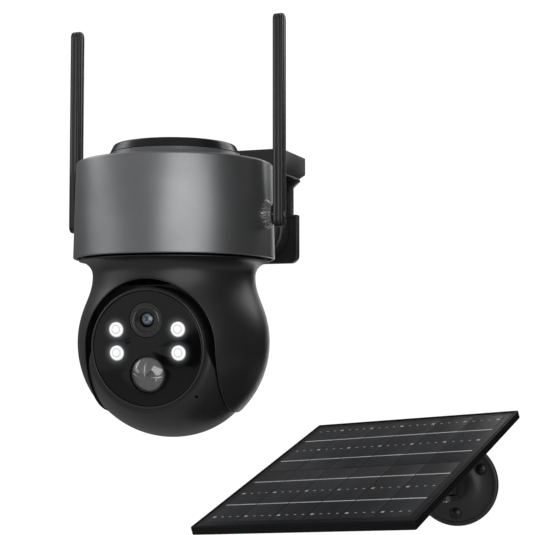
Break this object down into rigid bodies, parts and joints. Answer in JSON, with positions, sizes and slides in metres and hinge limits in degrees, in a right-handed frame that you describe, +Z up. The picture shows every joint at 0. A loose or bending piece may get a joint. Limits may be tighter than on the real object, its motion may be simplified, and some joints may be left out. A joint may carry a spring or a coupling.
{
  "type": "solar-powered security camera",
  "caption": "Pan-and-tilt security camera with twin antennas on a wall bracket, with a solar panel on its own jointed wall arm.",
  "frame": {"origin": "on the wall, at the back face of the camera's wall plate, on the axis of its mounting neck", "axes": "+Z up, +Y out of the back of the wall plate into the wall, camera looks along -Y"},
  "size_m": [0.2372, 0.1919, 0.2872],
  "materials": {
    "gunmetal": "satin gunmetal paint",
    "black_plastic": "satin black, fine texture",
    "gloss_black": "gloss black",
    "dark_plastic": "matt dark grey",
    "lens_glass": "coated optical glass",
    "led_white": "clear lamp lens, lit white",
    "pir_plastic": "moulded grey lens plastic",
    "circuit_board": "solder mask",
    "cell_sleeve": "shrink sleeve over steel",
    "steel": "zinc plated",
    "white_gear": "moulded acetal",
    "rubber": "matt",
    "solar_sheet": "laminated solar cells under a clear textured film"
  },
  "bodies": {
    "camera_body": {"body_sleeve": "gunmetal", "inner_housing": "black_plastic", "top_cap": "gloss_black", "battery_tray": "dark_plastic", "main_board": "circuit_board", "battery_cell_1": "cell_sleeve", "battery_cell_2": "cell_sleeve", "pan_motor": "steel", "charge_inlet": "rubber", "wall_plate": "black_plastic", "bracket_hood": "black_plastic", "bracket_neck": "black_plastic", "wall_screw_left": "steel", "wall_screw_right": "steel", "antenna_collar_left": "dark_plastic", "antenna_collar_right": "dark_plastic", "antenna_pin_left": "steel", "antenna_pin_right": "steel", "solar_base": "black_plastic", "base_screw_1": "steel", "base_screw_2": "steel", "base_screw_3": "steel"},
    "yoke": {"yoke_shell": "black_plastic", "yoke_rear_cover": "black_plastic", "tilt_axle": "steel", "tilt_gear": "white_gear", "pan_ring_gear": "white_gear", "cheek_plate_left": "dark_plastic", "cheek_plate_right": "dark_plastic"},
    "ball": {"ball_front_shell": "black_plastic", "ball_rear_shell": "black_plastic", "face_bezel": "dark_plastic", "face_glass": "gloss_black", "lens_barrel": "gloss_black", "lens_glass": "lens_glass", "sensor_board": "circuit_board", "led_board": "circuit_board", "led_lens_1": "led_white", "led_lens_2": "led_white", "led_lens_3": "led_white", "led_lens_4": "led_white", "pir_lens": "pir_plastic", "light_sensor": "lens_glass", "speaker": "dark_plastic", "tilt_motor": "steel"},
    "pan_drive": {"pan_pinion": "white_gear"},
    "tilt_drive": {"tilt_pinion": "white_gear"},
    "left_antenna": {"antenna_left": "black_plastic"},
    "right_antenna": {"antenna_right": "black_plastic"},
    "button": {"power_button": "rubber"},
    "solar_swivel": {"swivel_knuckle": "black_plastic", "arm_pivot_pin": "steel"},
    "solar_arm_body": {"solar_arm": "black_plastic"},
    "panel_fork": {"panel_knuckle": "black_plastic", "panel_pivot_pin": "steel"},
    "solar_panel": {"panel_tray": "black_plastic", "solar_laminate": "solar_sheet", "panel_boss": "dark_plastic", "junction_box": "dark_plastic", "lead_gland": "rubber"}
  },
  "joints": [
    {"name": "head_pan", "type": "hinge", "parent": "camera_body", "child": "yoke", "pos_m": [0, -0.1368, -0.028], "axis": [0, 0, 1], "range_deg": [-175, 175]},
    {"name": "head_tilt", "type": "hinge", "parent": "yoke", "child": "ball", "pos_m": [0, -0.1368, -0.072], "axis": [0.9976, 0.0698, 0], "range_deg": [-15, 65]},
    {"name": "pan_pinion_spin", "type": "hinge", "parent": "camera_body", "child": "pan_drive", "pos_m": [0, -0.1628, -0.0195], "axis": [0, 0, 1], "range_deg": [-590, 590]},
    {"name": "tilt_pinion_spin", "type": "hinge", "parent": "ball", "child": "tilt_drive", "pos_m": [0.0283, -0.12215, -0.08261], "axis": [0.9976, 0.0698, 0], "range_deg": [-45, 180]},
    {"name": "antenna_left_swing", "type": "hinge", "parent": "camera_body", "child": "left_antenna", "pos_m": [-0.061, -0.1368, -0.004], "axis": [1, 0, 0], "range_deg": [-90, 180]},
    {"name": "antenna_right_swing", "type": "hinge", "parent": "camera_body", "child": "right_antenna", "pos_m": [0.061, -0.1368, -0.004], "axis": [1, 0, 0], "range_deg": [-90, 180]},
    {"name": "power_button_press", "type": "slide", "parent": "camera_body", "child": "button", "axis": [0, -1, 0], "range_m": [0, 0.001], "stiffness_N_per_m": 500},
    {"name": "base_swivel", "type": "hinge", "parent": "camera_body", "child": "solar_swivel", "pos_m": [0.1265, -0.03, -0.1567], "axis": [0, 1, 0], "range_deg": [-60, 20]},
    {"name": "arm_swing", "type": "hinge", "parent": "solar_swivel", "child": "solar_arm_body", "pos_m": [0.1265, -0.03, -0.1567], "axis": [0, 0, 1], "range_deg": [-10, 60]},
    {"name": "panel_tilt", "type": "hinge", "parent": "solar_arm_body", "child": "panel_fork", "pos_m": [0.09822, -0.09671, -0.15744], "axis": [0.9696, -0.2259, 0.094], "range_deg": [-20, 45]},
    {"name": "panel_spin", "type": "hinge", "parent": "panel_fork", "child": "solar_panel", "pos_m": [0.0952, -0.1022, -0.1395], "axis": [-0.1588, -0.2891, 0.944], "range_deg": [-180, 180]}
  ],
  "couplings": [
    {"joint": "pan_pinion_spin", "follows": "head_pan", "ratio": -3.3333},
    {"joint": "tilt_pinion_spin", "follows": "head_tilt", "ratio": 2.6667}
  ]
}
